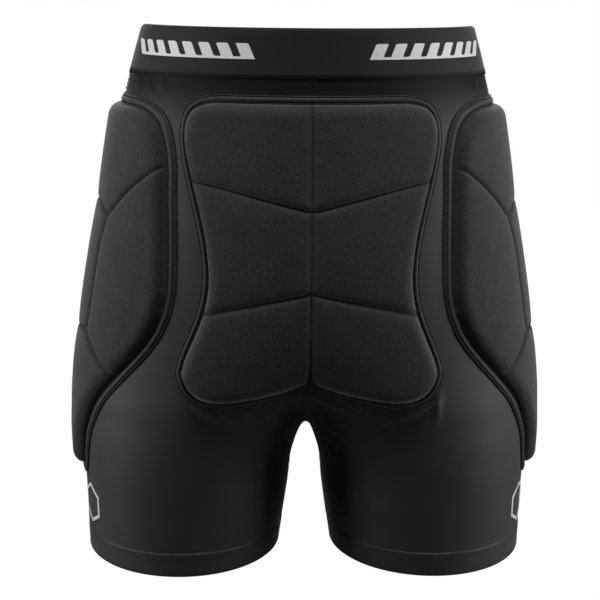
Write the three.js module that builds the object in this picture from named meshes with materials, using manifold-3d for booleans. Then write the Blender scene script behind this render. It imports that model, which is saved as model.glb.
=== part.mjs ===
// Padded impact shorts: a tight knitted short with a quilted seat pad and two quilted hip pads.
// Units are millimetres. +Z is up, the back of the shorts faces -Y, and the wearer's right is +X.
// The shorts stand on their two leg hems, as they do on a display form.
import * as THREE from 'three';
import { mergeVertices } from 'three/addons/utils/BufferGeometryUtils.js';
import Module from 'manifold-3d';

// Driving dimensions.
const RIM_HEIGHT = 430; // top of the waistband at the back, above the hems
const RIM_DROP = 0.2; // fall of the waistband per millimetre forward of where its drop starts
const DROP_START = -15; // where on Y the drop starts, just behind the side seam
const WAISTBAND_HEIGHT = 36;
const HEM_HEIGHT = 20;
const FABRIC = 1.2; // thickness of the body fabric
const CASING_FABRIC = 1.2; // thickness of the folded waistband casing
const SEAM_GAP = 0.3; // clearance between pieces that are sewn edge to edge
const LAYER_GAP = 0.4; // clearance between pieces that lie on each other
const SEAT_FOAM = 12;
const HIP_FOAM = 9;
const COVER_FABRIC = 1.2;
const SEAT_BINDING = 6; // width of the binding tape
const HIP_BINDING = 7.5;
const BINDING_THICKNESS = 2.4;
const CHANNEL = 4.6; // width of a quilting channel between two foam blocks
const GROOVE = 2; // width of the groove that the quilting stitches pull into the cover
const PRINT_THICKNESS = 0.3;
const SEGMENTS = 32; // sides round each half of the body
const CLEAN = 0.03; // the smallest detail that a cut leaves behind
const FAR = 300; // reach of the cutting solids, beyond the object

// The body form. Each half is one leg and half of the torso, an oval at every height.
// Above the crotch the inner edge passes the centre plane, where the two halves meet.
const STATIONS = [
  { z: -30, outer: 180.5, inner: 26, back: 91, front: 90 },
  { z: 48, outer: 182.5, inner: 15, back: 93, front: 95 },
  { z: 85, outer: 184, inner: 9.5, back: 94, front: 97 },
  { z: 107, outer: 184.5, inner: 0, back: 94.5, front: 98 },
  { z: 120, outer: 184, inner: -11, back: 95, front: 99 },
  { z: 135, outer: 183.5, inner: -29, back: 96.5, front: 100.5 },
  { z: 149, outer: 182.5, inner: -63, back: 99, front: 102 },
  { z: 168, outer: 180.5, inner: -108, back: 103.5, front: 103.5 },
  { z: 190, outer: 177, inner: -144, back: 108.5, front: 105 },
  { z: 214, outer: 173.5, inner: -161, back: 112, front: 106 },
  { z: 252, outer: 167, inner: -165.5, back: 113.5, front: 106 },
  { z: 292, outer: 159.5, inner: -159.5, back: 111.5, front: 104.5 },
  { z: 332, outer: 153.5, inner: -153.5, back: 107, front: 103 },
  { z: 368, outer: 147, inner: -147, back: 103, front: 102 },
  { z: 402, outer: 138, inner: -138, back: 99.5, front: 99.5 },
  { z: 450, outer: 124, inner: -124, back: 97, front: 97 },
];

// Colours and finishes.
const jersey = new THREE.MeshStandardMaterial({ color: '#1d1e21', roughness: 0.72, metalness: 0 });
const bandKnit = new THREE.MeshStandardMaterial({ color: '#17181a', roughness: 0.85, metalness: 0 });
const padKnit = new THREE.MeshStandardMaterial({ color: '#222325', roughness: 0.9, metalness: 0 });
const bindingTape = new THREE.MeshStandardMaterial({ color: '#26272a', roughness: 0.8, metalness: 0 });
const foam = new THREE.MeshStandardMaterial({ color: '#4a4c50', roughness: 0.95, metalness: 0 });
const elastic = new THREE.MeshStandardMaterial({ color: '#8d8d8a', roughness: 0.9, metalness: 0 });
const print = new THREE.MeshStandardMaterial({ color: '#f1f2f2', roughness: 0.6, metalness: 0 });
const label = new THREE.MeshStandardMaterial({ color: '#e3e3df', roughness: 0.8, metalness: 0 });

const wasm = await Module();
wasm.setup();

function toSolid(geometry) {
  geometry.deleteAttribute('normal');
  geometry.deleteAttribute('uv');
  const merged = mergeVertices(geometry, 1e-4);
  const vertProperties = new Float32Array(merged.attributes.position.array);
  const triVerts = new Uint32Array(merged.index.array);
  return new wasm.Manifold(new wasm.Mesh({ numProp: 3, vertProperties, triVerts }));
}

function toGeometry(solid) {
  const { vertProperties, triVerts } = solid.simplify(CLEAN).getMesh();
  const geometry = new THREE.BufferGeometry();
  geometry.setAttribute('position', new THREE.BufferAttribute(new Float32Array(vertProperties), 3));
  geometry.setIndex(new THREE.BufferAttribute(new Uint32Array(triVerts), 1));
  geometry.computeVertexNormals();
  return geometry;
}

// An outline in the X-Z plane made into a prism along Y, between two places on Y.
function backPrism(points, yFrom, yTo) {
  const shape = new THREE.Shape(points);
  const geometry = new THREE.ExtrudeGeometry(shape, { depth: yTo - yFrom, bevelEnabled: false });
  geometry.rotateX(Math.PI / 2);
  geometry.translate(0, yTo, 0);
  return toSolid(geometry);
}

// An outline in the Y-Z plane made into a prism along X, between two places on X.
function sidePrism(points, xFrom, xTo) {
  const shape = new THREE.Shape(points);
  const geometry = new THREE.ExtrudeGeometry(shape, { depth: xTo - xFrom, bevelEnabled: false });
  const turn = new THREE.Matrix4().makeBasis(
    new THREE.Vector3(0, 1, 0),
    new THREE.Vector3(0, 0, 1),
    new THREE.Vector3(1, 0, 0),
  );
  geometry.applyMatrix4(turn);
  geometry.translate(xFrom, 0, 0);
  return toSolid(geometry);
}

function block(xFrom, xTo, yFrom, yTo, zFrom, zTo) {
  const geometry = new THREE.BoxGeometry(xTo - xFrom, yTo - yFrom, zTo - zFrom);
  geometry.translate((xFrom + xTo) / 2, (yFrom + yTo) / 2, (zFrom + zTo) / 2);
  return toSolid(geometry);
}

// One half of the body, grown outward by an offset: a cylinder whose rings are moved onto the stations.
function bodyTube(side, offset) {
  const rows = STATIONS.length - 1;
  const geometry = new THREE.CylinderGeometry(1, 1, rows, SEGMENTS, rows, false, Math.PI / SEGMENTS);
  const position = geometry.attributes.position;
  for (let i = 0; i < position.count; i += 1) {
    const station = STATIONS[Math.round(position.getY(i) + rows / 2)];
    const across = position.getX(i);
    const forward = -position.getZ(i);
    const centre = (station.outer + station.inner) / 2;
    const halfWidth = (station.outer - station.inner) / 2 + offset;
    const depth = (forward > 0 ? station.front : station.back) + offset;
    position.setXYZ(i, side * centre + halfWidth * across, depth * forward, station.z);
  }
  return toSolid(geometry);
}

// The layer between two offsets on one half of the body, stopped short of the centre plane by a margin.
function halfLayer(side, inner, outer, margin = 0) {
  const wall = bodyTube(side, outer).subtract(bodyTube(side, inner));
  const xFrom = side > 0 ? margin : -FAR;
  const xTo = side > 0 ? FAR : -margin;
  return wall.intersect(block(xFrom, xTo, -FAR, FAR, -FAR, 2 * FAR));
}

// The same layer on both halves, joined at the centre plane.
function layer(inner, outer) {
  return halfLayer(1, inner, outer).add(halfLayer(-1, inner, outer));
}

// The space between two heights that both follow the drop of the waistband towards the front.
function waistSlice(zFrom, zTo) {
  const drop = RIM_DROP * (FAR - DROP_START);
  const outline = [
    new THREE.Vector2(-FAR, zFrom),
    new THREE.Vector2(DROP_START, zFrom),
    new THREE.Vector2(FAR, zFrom - drop),
    new THREE.Vector2(FAR, zTo - drop),
    new THREE.Vector2(DROP_START, zTo),
    new THREE.Vector2(-FAR, zTo),
  ];
  return sidePrism(outline, -FAR, FAR);
}

// An outline moved inward by a distance, for outlines that run anticlockwise. The fall at a place is how far
// the surface under the outline drops away for each millimetre sideways, so the distance is as it lies on it.
function inset(points, distance, fallAt = () => 0) {
  return points.map((point, i) => {
    const before = points[(i + points.length - 1) % points.length];
    const after = points[(i + 1) % points.length];
    const along = after.clone().sub(before).normalize();
    const reach = distance / Math.hypot(1, fallAt(point) * along.y);
    return new THREE.Vector2(point.x - along.y * reach, point.y + along.x * reach);
  });
}

// The fall of the outside of the hip towards the back or the front, at a place in the Y-Z plane.
function hipFall(place) {
  const above = STATIONS.findIndex((station) => station.z > place.y);
  const high = STATIONS[above];
  const low = STATIONS[above - 1];
  const share = (place.y - low.z) / (high.z - low.z);
  const blend = (key) => low[key] + share * (high[key] - low[key]);
  const halfWidth = (blend('outer') - blend('inner')) / 2;
  const depth = place.x > 0 ? blend('front') : blend('back');
  return (halfWidth / depth) * Math.tan(Math.asin(place.x / depth));
}

// The points of a closed outline, anticlockwise and without the repeated last point.
function outlinePoints(shape, divisions) {
  const points = shape.getPoints(divisions);
  if (points[0].distanceTo(points[points.length - 1]) < 1e-6) points.pop();
  return THREE.ShapeUtils.isClockWise(points) ? points.reverse() : points;
}

// The seat pad's outline in the X-Z plane: a rounded shield, waisted at mid-height,
// with a lobe under each buttock and a peak between them.
function seatOutline() {
  const shape = new THREE.Shape();
  shape.moveTo(0, 158);
  shape.quadraticCurveTo(30, 146, 60, 140.5);
  shape.bezierCurveTo(84, 138.5, 101, 146, 103.5, 168);
  shape.bezierCurveTo(101, 190, 82, 212, 81.5, 245);
  shape.bezierCurveTo(82, 284, 96, 312, 98.5, 345);
  shape.bezierCurveTo(99, 370, 91, 380, 68, 381);
  shape.lineTo(-68, 381);
  shape.bezierCurveTo(-91, 380, -99, 370, -98.5, 345);
  shape.bezierCurveTo(-96, 312, -82, 284, -81.5, 245);
  shape.bezierCurveTo(-82, 212, -101, 190, -103.5, 168);
  shape.bezierCurveTo(-101, 146, -84, 138.5, -60, 140.5);
  shape.quadraticCurveTo(-30, 146, 0, 158);
  return outlinePoints(shape, 4);
}

const HIP_MIDDLE = -6; // Y of each hip pad's middle line

// A hip pad's outline in the Y-Z plane: broad over the hip bone, tapering down the outside of the thigh.
// It is the same on both sides of its own middle line.
function hipOutline() {
  const shape = new THREE.Shape();
  shape.moveTo(HIP_MIDDLE + 18, 66);
  shape.quadraticCurveTo(HIP_MIDDLE + 29, 66, HIP_MIDDLE + 34, 90);
  shape.bezierCurveTo(HIP_MIDDLE + 46, 134, HIP_MIDDLE + 84, 172, HIP_MIDDLE + 85, 228);
  shape.bezierCurveTo(HIP_MIDDLE + 85, 262, HIP_MIDDLE + 80, 292, HIP_MIDDLE + 76, 322);
  shape.bezierCurveTo(HIP_MIDDLE + 74, 334, HIP_MIDDLE + 71, 346, HIP_MIDDLE + 68, 354);
  shape.bezierCurveTo(HIP_MIDDLE + 63, 368, HIP_MIDDLE + 54, 374, HIP_MIDDLE + 36, 375);
  shape.lineTo(HIP_MIDDLE - 36, 375);
  shape.bezierCurveTo(HIP_MIDDLE - 54, 374, HIP_MIDDLE - 63, 368, HIP_MIDDLE - 68, 354);
  shape.bezierCurveTo(HIP_MIDDLE - 71, 346, HIP_MIDDLE - 74, 334, HIP_MIDDLE - 76, 322);
  shape.bezierCurveTo(HIP_MIDDLE - 80, 292, HIP_MIDDLE - 85, 262, HIP_MIDDLE - 85, 228);
  shape.bezierCurveTo(HIP_MIDDLE - 84, 172, HIP_MIDDLE - 46, 134, HIP_MIDDLE - 34, 90);
  shape.quadraticCurveTo(HIP_MIDDLE - 29, 66, HIP_MIDDLE - 18, 66);
  return outlinePoints(shape, 4);
}

// The seat pad's quilting: a line down its middle and two lines across it, each given by its height at the
// middle and its rise per millimetre outward.
const SEAT_UPPER_LINE = { middle: 296, rise: 0.255 };
const SEAT_LOWER_LINE = { middle: 236.5, rise: -0.25 };

// The six cells between the seat pad's quilting lines, kept a margin clear of them.
function seatCells(margin) {
  const reach = 160;
  const height = (line, outward, gap) => line.middle + line.rise * outward + gap;
  const cells = {
    upper: [
      [margin, height(SEAT_UPPER_LINE, margin, margin)],
      [reach, height(SEAT_UPPER_LINE, reach, margin)],
      [reach, RIM_HEIGHT],
      [margin, RIM_HEIGHT],
    ],
    middle: [
      [margin, height(SEAT_LOWER_LINE, margin, margin)],
      [reach, height(SEAT_LOWER_LINE, reach, margin)],
      [reach, height(SEAT_UPPER_LINE, reach, -margin)],
      [margin, height(SEAT_UPPER_LINE, margin, -margin)],
    ],
    lower: [
      [margin, 0],
      [reach, 0],
      [reach, height(SEAT_LOWER_LINE, reach, -margin)],
      [margin, height(SEAT_LOWER_LINE, margin, -margin)],
    ],
  };
  const solids = {};
  for (const [level, cell] of Object.entries(cells)) {
    for (const [sideName, side] of [['right', 1], ['left', -1]]) {
      const outline = cell.map(([outward, z]) => new THREE.Vector2(side * outward, z));
      solids[`${level}_${sideName}`] = backPrism(outline, -FAR, 0);
    }
  }
  return solids;
}

// The hip pad's quilting: a six-sided cell in the middle, and a line from each of its four corners to the
// edge. The lines leave a cell above it, below it, behind it and in front of it. Places are outward from the
// middle line.
const HIP_CELL_TOP = [0, 291];
const HIP_CELL_SHOULDER = [36, 281];
const HIP_CELL_WAIST = [29, 188];
const HIP_CELL_FOOT = [0, 185];
const HIP_UPPER_CORNER = [150, 424]; // beyond the pad, on the line from the cell's shoulder
const HIP_LOWER_CORNER = [150, 67];

function hipCells(side, margin) {
  const shoulder = HIP_CELL_SHOULDER;
  const waist = HIP_CELL_WAIST;
  const top = [HIP_CELL_TOP, shoulder, HIP_UPPER_CORNER, [HIP_UPPER_CORNER[0], 2 * RIM_HEIGHT]];
  const bottom = [[HIP_LOWER_CORNER[0], -RIM_HEIGHT], HIP_LOWER_CORNER, waist, HIP_CELL_FOOT];
  const flank = [HIP_LOWER_CORNER, HIP_UPPER_CORNER, shoulder, waist];
  const centre = [HIP_CELL_FOOT, waist, shoulder, HIP_CELL_TOP];
  const flip = (points) => points.map(([outward, z]) => [-outward, z]).reverse();
  const isOffMiddle = ([outward]) => outward > 0;
  const outlines = {
    top: [...top, ...flip(top.filter(isOffMiddle))],
    bottom: [...bottom, ...flip(bottom.filter(isOffMiddle))],
    centre: [...centre, ...flip(centre.filter(isOffMiddle))],
    front: flank,
    rear: flip(flank),
  };
  const [xFrom, xTo] = side > 0 ? [0, FAR] : [-FAR, 0];
  const solids = {};
  for (const [name, outline] of Object.entries(outlines)) {
    const points = outline.map(([outward, z]) => new THREE.Vector2(HIP_MIDDLE + outward, z));
    solids[name] = sidePrism(inset(points, margin), xFrom, xTo);
  }
  return solids;
}

const group = new THREE.Group();

function addPiece(name, solid, material) {
  const mesh = new THREE.Mesh(toGeometry(solid), material);
  mesh.name = name;
  group.add(mesh);
}

// A quilted pad sewn onto the body: foam blocks, a cover with a pocket for each block, and a binding tape
// round the edge. The layers come as a function of two offsets, and the outlines as a function of an inset.
function addPad(names, foamThickness, bindingWidth, makeLayer, makePrism, makeCells) {
  const underside = LAYER_GAP;
  const foamTop = underside + foamThickness;
  const pocketTop = foamTop + LAYER_GAP;
  const coverTop = pocketTop + COVER_FABRIC;
  const coverInset = bindingWidth + SEAM_GAP;
  const pocketInset = coverInset + COVER_FABRIC;
  const foamLayer = makeLayer(underside, foamTop);
  const foamPrism = makePrism(pocketInset + LAYER_GAP);
  const foamCells = makeCells(CHANNEL / 2);
  for (const [cell, name] of Object.entries(names.foam)) {
    addPiece(name, foamLayer.intersect(foamPrism).intersect(foamCells[cell]), foam);
  }
  let cover = makeLayer(underside, coverTop).intersect(makePrism(coverInset));
  const pocketLayer = makeLayer(underside - FABRIC, pocketTop).intersect(makePrism(pocketInset));
  const pocketCells = makeCells(CHANNEL / 2 - LAYER_GAP);
  const grooveCells = makeCells(GROOVE / 2);
  const grooveLayer = makeLayer(underside + COVER_FABRIC, coverTop + COVER_FABRIC);
  let grooves = grooveLayer.intersect(makePrism(pocketInset));
  for (const cell of Object.keys(names.foam)) {
    cover = cover.subtract(pocketLayer.intersect(pocketCells[cell]));
    grooves = grooves.subtract(grooveCells[cell]);
  }
  addPiece(names.cover, cover.subtract(grooves), padKnit);
  const ring = makePrism(0).subtract(makePrism(bindingWidth));
  const binding = makeLayer(underside, underside + BINDING_THICKNESS).intersect(ring);
  addPiece(names.binding, binding, bindingTape);
}

function addSeatPad() {
  const outline = seatOutline();
  const foamNames = {};
  for (const level of ['upper', 'middle', 'lower']) {
    for (const side of ['left', 'right']) foamNames[`${level}_${side}`] = `seat_foam_${level}_${side}`;
  }
  const names = { cover: 'seat_pad_cover', binding: 'seat_pad_binding', foam: foamNames };
  const makePrism = (distance) => backPrism(inset(outline, distance), -FAR, -40);
  addPad(names, SEAT_FOAM, SEAT_BINDING, layer, makePrism, seatCells);
}

function addHipPad(side, sideName) {
  const outline = hipOutline();
  const foamNames = {};
  for (const cell of ['top', 'rear', 'centre', 'front', 'bottom']) {
    foamNames[cell] = `${sideName}_hip_foam_${cell}`;
  }
  const names = {
    cover: `${sideName}_hip_pad_cover`,
    binding: `${sideName}_hip_pad_binding`,
    foam: foamNames,
  };
  const [xFrom, xTo] = side > 0 ? [80, FAR] : [-FAR, -80];
  const makeLayer = (inner, outer) => halfLayer(side, inner, outer);
  const makePrism = (distance) => sidePrism(inset(outline, distance, hipFall), xFrom, xTo);
  const makeCells = (margin) => hipCells(side, margin);
  addPad(names, HIP_FOAM, HIP_BINDING, makeLayer, makePrism, makeCells);
}

// The gusset is a kite seen from behind, which runs under the crotch from back to front.
function gussetPrism(margin) {
  const right = [
    [0, 166 + margin],
    [40 + margin, 140],
    [31 + margin, 112],
    [15 + margin, 70],
    [8 + margin, 50 - margin],
  ];
  const left = right.slice(1).reverse();
  const outline = [
    ...right.map(([x, z]) => new THREE.Vector2(x, z)),
    ...left.map(([x, z]) => new THREE.Vector2(-x, z)),
  ];
  return backPrism(outline, -FAR, FAR);
}

function addBody() {
  const bandBottom = RIM_HEIGHT - WAISTBAND_HEIGHT;
  const aboveHem = block(-FAR, FAR, -FAR, FAR, HEM_HEIGHT + SEAM_GAP, FAR + RIM_HEIGHT);
  const upTo = waistSlice(-FAR, bandBottom - SEAM_GAP);
  const around = gussetPrism(SEAM_GAP);
  for (const [sideName, side] of [['right', 1], ['left', -1]]) {
    const wall = halfLayer(side, -FABRIC, 0, SEAM_GAP / 2);
    const panels = wall.intersect(aboveHem).intersect(upTo).subtract(around);
    const behind = block(-FAR, FAR, -FAR, -SEAM_GAP / 2, -FAR, 2 * FAR);
    const ahead = block(-FAR, FAR, SEAM_GAP / 2, FAR, -FAR, 2 * FAR);
    addPiece(`back_panel_${sideName}`, panels.intersect(behind), jersey);
    addPiece(`front_panel_${sideName}`, panels.intersect(ahead), jersey);
    const hem = bodyTube(side, 0).subtract(bodyTube(side, -2 * FABRIC));
    addPiece(`${sideName}_leg_hem`, hem.intersect(block(-FAR, FAR, -FAR, FAR, 0, HEM_HEIGHT)), jersey);
  }
  addPiece('crotch_gusset', layer(-FABRIC, 0).intersect(gussetPrism(0)), jersey);
}

const CASING_OUTSIDE = 2.2; // how far the waistband casing stands outside the body form
const CASING_INSIDE = -3;

function addWaistband() {
  const bandBottom = RIM_HEIGHT - WAISTBAND_HEIGHT;
  const outside = layer(CASING_INSIDE, CASING_OUTSIDE).intersect(waistSlice(bandBottom, RIM_HEIGHT));
  const hollow = layer(CASING_INSIDE + CASING_FABRIC, CASING_OUTSIDE - CASING_FABRIC)
    .intersect(waistSlice(bandBottom - 1, RIM_HEIGHT - CASING_FABRIC));
  addPiece('waistband_casing', outside.subtract(hollow), bandKnit);
  const strip = layer(CASING_INSIDE + CASING_FABRIC + LAYER_GAP, CASING_OUTSIDE - CASING_FABRIC - LAYER_GAP)
    .intersect(waistSlice(bandBottom + 2, RIM_HEIGHT - CASING_FABRIC - LAYER_GAP));
  addPiece('waistband_elastic', strip, elastic);
}

// A printed row of slanted bars on one thin rail, on each side of the waistband's back.
// The bars are evenly spaced round the body, so they are placed by how far round from the middle they are.
function addWaistbandPrint(side, sideName) {
  const barCount = 8;
  const firstBar = 18; // degrees round from the middle of the back
  const barPitch = 6.9;
  const barWidth = 4.2;
  const slant = 2.2;
  const low = 407;
  const high = 418.5;
  const railTop = low + 1.8;
  const reach = 136; // half-width of the waistband
  const outline = (corners) => corners.map(([turn, z]) => {
    const outward = reach * Math.sin(THREE.MathUtils.degToRad(turn));
    return new THREE.Vector2(side * outward, z);
  });
  const lastTurn = firstBar + (barCount - 1) * barPitch + barWidth;
  const rail = [[firstBar, low], [lastTurn, low], [lastTurn, railTop], [firstBar, railTop]];
  let motif = backPrism(outline(rail), -FAR, 0);
  for (let i = 0; i < barCount; i += 1) {
    const turn = firstBar + i * barPitch;
    const bar = [[turn, low], [turn + barWidth, low], [turn + barWidth + slant, high], [turn + slant, high]];
    motif = motif.add(backPrism(outline(bar), -FAR, 0));
  }
  const face = CASING_OUTSIDE + LAYER_GAP;
  const film = halfLayer(side, face, face + PRINT_THICKNESS);
  addPiece(`waistband_print_${sideName}`, film.intersect(motif), print);
}

// A printed six-sided ring low on the outside of each leg.
function addLegPrint(side, sideName) {
  const radius = 17;
  const line = 3;
  const centre = new THREE.Vector2(-38, 44);
  const ring = (r) => {
    const points = [];
    for (let i = 0; i < 6; i += 1) {
      const angle = (i * Math.PI) / 3 + Math.PI / 6;
      points.push(new THREE.Vector2(centre.x + r * Math.cos(angle), centre.y + r * Math.sin(angle)));
    }
    return points;
  };
  const [xFrom, xTo] = side > 0 ? [120, FAR] : [-FAR, -120];
  const motif = sidePrism(ring(radius), xFrom, xTo).subtract(sidePrism(ring(radius - line), xFrom, xTo));
  const face = halfLayer(side, LAYER_GAP, LAYER_GAP + PRINT_THICKNESS);
  addPiece(`leg_print_${sideName}`, face.intersect(motif), print);
}

// A blank care label hanging inside the back of the waist.
function addCareLabel() {
  const outline = [[-14, 356], [14, 356], [14, 391], [-14, 391]].map(([x, z]) => new THREE.Vector2(x, z));
  const sheet = layer(-FABRIC - LAYER_GAP - 0.5, -FABRIC - LAYER_GAP);
  addPiece('care_label', sheet.intersect(backPrism(outline, -FAR, 0)), label);
}

addBody();
addWaistband();
addSeatPad();
for (const [sideName, side] of [['right', 1], ['left', -1]]) {
  addHipPad(side, sideName);
  addWaistbandPrint(side, sideName);
  addLegPrint(side, sideName);
}
addCareLabel();

// The origin is at the middle of the shorts' box, on the plane of the hems.
const box = new THREE.Box3().setFromObject(group);
group.position.set(-(box.min.x + box.max.x) / 2, -(box.min.y + box.max.y) / 2, -box.min.z);

export default group;
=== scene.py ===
import math

import bmesh
import bpy
import numpy as np
from mathutils import Matrix, Vector
from mathutils.geometry import delaunay_2d_cdt
from mathutils.kdtree import KDTree


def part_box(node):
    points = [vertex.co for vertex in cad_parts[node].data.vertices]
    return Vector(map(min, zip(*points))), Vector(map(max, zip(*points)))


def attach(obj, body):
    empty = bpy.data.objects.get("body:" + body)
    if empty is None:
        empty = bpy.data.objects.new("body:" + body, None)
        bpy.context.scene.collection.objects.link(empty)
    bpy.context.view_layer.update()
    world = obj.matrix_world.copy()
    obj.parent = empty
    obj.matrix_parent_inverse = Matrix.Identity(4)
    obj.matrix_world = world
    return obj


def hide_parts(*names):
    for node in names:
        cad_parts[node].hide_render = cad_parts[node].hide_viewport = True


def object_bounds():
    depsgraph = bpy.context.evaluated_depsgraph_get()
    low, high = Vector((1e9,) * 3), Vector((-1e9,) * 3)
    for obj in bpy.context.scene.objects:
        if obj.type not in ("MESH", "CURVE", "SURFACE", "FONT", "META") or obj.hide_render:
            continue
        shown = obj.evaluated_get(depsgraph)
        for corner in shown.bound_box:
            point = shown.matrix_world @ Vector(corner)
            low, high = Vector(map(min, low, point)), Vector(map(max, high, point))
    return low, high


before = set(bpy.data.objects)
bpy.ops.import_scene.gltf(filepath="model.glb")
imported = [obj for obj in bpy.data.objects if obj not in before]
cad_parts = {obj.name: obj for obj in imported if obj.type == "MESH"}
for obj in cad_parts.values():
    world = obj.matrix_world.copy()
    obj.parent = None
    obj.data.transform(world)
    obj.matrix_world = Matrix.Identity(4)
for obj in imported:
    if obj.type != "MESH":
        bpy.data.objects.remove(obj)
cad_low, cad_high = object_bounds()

MM = 0.001
BODY = "root"
SCENE = bpy.context.scene
SIDES = (("right", 1), ("left", -1))

# ---- The body form
# The same stations as the CAD model: each half of the shorts is an oval at every height.
# Height, outer half-width, inner half-width, depth behind, depth in front, in millimetres.
STATIONS = np.array([
    (-30, 180.5, 26, 91, 90),
    (48, 182.5, 15, 93, 95),
    (85, 184, 9.5, 94, 97),
    (107, 184.5, 0, 94.5, 98),
    (120, 184, -11, 95, 99),
    (135, 183.5, -29, 96.5, 100.5),
    (149, 182.5, -63, 99, 102),
    (168, 180.5, -108, 103.5, 103.5),
    (190, 177, -144, 108.5, 105),
    (214, 173.5, -161, 112, 106),
    (252, 167, -165.5, 113.5, 106),
    (292, 159.5, -159.5, 111.5, 104.5),
    (332, 153.5, -153.5, 107, 103),
    (368, 147, -147, 103, 102),
    (402, 138, -138, 99.5, 99.5),
    (450, 124, -124, 97, 97),
]) * MM
RIM = cad_high.z
BAND_BOTTOM = RIM - 36 * MM
RIM_DROP = 0.2  # how much the waistband falls towards the front, for each metre forward
DROP_START = -15 * MM
HEM_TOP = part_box("right_leg_hem")[1].z
# The panels behind and in front meet at the middle of the body form.
FORM_Y = (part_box("back_panel_right")[1].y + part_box("front_panel_right")[0].y) / 2
CROTCH_BLEND = 8 * MM  # how softly the two legs run together
CROTCH_TOP = 205 * MM  # the two halves run together only below this height
CROTCH_FADE = 60 * MM
PROBE = 0.4 * MM  # how far apart the form's slope is measured, to each side
PATCH_BOTTOM, PATCH_TOP, PATCH_STEP = 50 * MM, 420 * MM, 3 * MM
PATCH_HALF = 100  # places across a patch, to each side of its middle


def smoothstep(t):
    t = np.clip(t, 0.0, 1.0)
    return t * t * (3 - 2 * t)


def form_at(z):
    """Each half's centre and half-width at heights z, and its depths behind and in front."""
    knots, values = STATIONS[:, 0], STATIONS[:, 1:]
    slopes = np.gradient(values, knots, axis=0)
    z = np.clip(np.asarray(z, float), knots[0], knots[-1])
    i = np.clip(np.searchsorted(knots, z) - 1, 0, len(knots) - 2)
    step = (knots[i + 1] - knots[i])[:, None]
    t = ((z - knots[i]) / step[:, 0])[:, None]
    start, end = values[i], values[i + 1]
    curve = (
        (1 + 2 * t) * (1 - t) ** 2 * start
        + t * (1 - t) ** 2 * step * slopes[i]
        + t * t * (3 - 2 * t) * end
        + t * t * (t - 1) * step * slopes[i + 1]
    )
    outer, inner, back, front = curve.T
    return (outer + inner) / 2, (outer - inner) / 2, back, front


def form_distance(p):
    """Roughly how far points lie outside the body form."""
    centre, half, back, front = form_at(p[:, 2])
    y = p[:, 1] - FORM_Y
    depth = np.where(y > 0, front, back)

    def oval(side):
        u = (p[:, 0] - side * centre) / half
        v = y / depth
        e = np.sqrt(u * u + v * v) + 1e-9
        return (e - 1) * e / np.sqrt((u / half) ** 2 + (v / depth) ** 2 + 1e-9)

    right, left = oval(1), oval(-1)
    softness = CROTCH_BLEND * smoothstep((CROTCH_TOP - p[:, 2]) / CROTCH_FADE) + 1e-6
    overlap = np.maximum(softness - np.abs(right - left), 0) / softness
    return np.minimum(right, left) - overlap * overlap * softness / 4


def form_normal(p):
    moves = np.eye(3) * PROBE
    gradient = np.column_stack([form_distance(p + move) - form_distance(p - move) for move in moves])
    slope = np.linalg.norm(gradient, axis=1, keepdims=True) + 1e-12
    return gradient / slope, slope[:, 0] / (2 * PROBE)


def on_form(p, rounds=5):
    """Moves points straight onto the body form. Returns them and their outward normals."""
    p = np.array(p, float)
    for _ in range(rounds):
        normal, slope = form_normal(p)
        p = p - normal * (form_distance(p) / slope)[:, None]
    return p, form_normal(p)[0]


def on_face(x, z, way):
    """Points on the back (way -1) or front (way 1) of the form at x, z, with their normals."""
    centre, half, back, front = form_at(z)
    share = np.clip(1 - ((np.abs(x) - centre) / half) ** 2, 0.02, 1)
    depth = front if way > 0 else back
    return along_axis(np.column_stack([x, FORM_Y + way * depth * np.sqrt(share), z]), 1)


def behind(x, z):
    return on_face(x, z, -1)


def beside(side, y, z):
    """Points on the outside of one half of the form at places y, z."""
    centre, half, back, front = form_at(z)
    depth = np.where(y > FORM_Y, front, back)
    share = np.clip(1 - ((y - FORM_Y) / depth) ** 2, 0.02, 1)
    return along_axis(np.column_stack([side * (centre + half * np.sqrt(share)), y, z]), 0)


def along_axis(p, axis):
    """Brings points onto the form by moving them along one axis only, with their normals."""
    move = np.eye(3)[axis] * PROBE
    for _ in range(4):
        slope = (form_distance(p + move) - form_distance(p - move)) / (2 * PROBE)
        p[:, axis] -= form_distance(p) / slope
    return p, form_normal(p)[0]


class Patch:
    """A part of the form laid out flat: a place in it is (length from the middle, height)."""

    def __init__(self, surface, widest):
        self.surface = surface
        self.across = np.linspace(-widest, widest, 2 * PATCH_HALF + 1)
        self.heights = np.arange(PATCH_BOTTOM, PATCH_TOP, PATCH_STEP)
        sideways, up = np.meshgrid(self.across, self.heights)
        grid = surface(sideways.ravel(), up.ravel())[0].reshape(*up.shape, 3)
        step = np.linalg.norm(np.diff(grid, axis=1), axis=2)
        length = np.hstack([np.zeros((len(grid), 1)), np.cumsum(step, axis=1)])
        self.length = length - length[:, PATCH_HALF, None]

    def lengths_at(self, z):
        """The length from the middle to every place across, at each height."""
        row = np.clip((z - PATCH_BOTTOM) / PATCH_STEP, 0, len(self.heights) - 1.001)
        first = row.astype(int)
        share = (row - first)[:, None]
        return self.length[first] * (1 - share) + self.length[first + 1] * share

    def laid_flat(self, places):
        """Places in the patch of places on the plane that faces it."""
        rows = self.lengths_at(places[:, 1])
        flat = [np.interp(u, self.across, row) for u, row in zip(places[:, 0], rows)]
        return np.column_stack([flat, places[:, 1]])

    def place(self, flat):
        """Points and normals on the form at places in the patch."""
        rows = self.lengths_at(flat[:, 1])
        before = np.clip(np.sum(rows < flat[:, :1], axis=1) - 1, 0, rows.shape[1] - 2)
        number = np.arange(len(flat))
        low, high = rows[number, before], rows[number, before + 1]
        share = (flat[:, 0] - low) / (high - low)
        sideways = self.across[before] + share * (self.across[1] - self.across[0])
        return self.surface(sideways, flat[:, 1])


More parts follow.
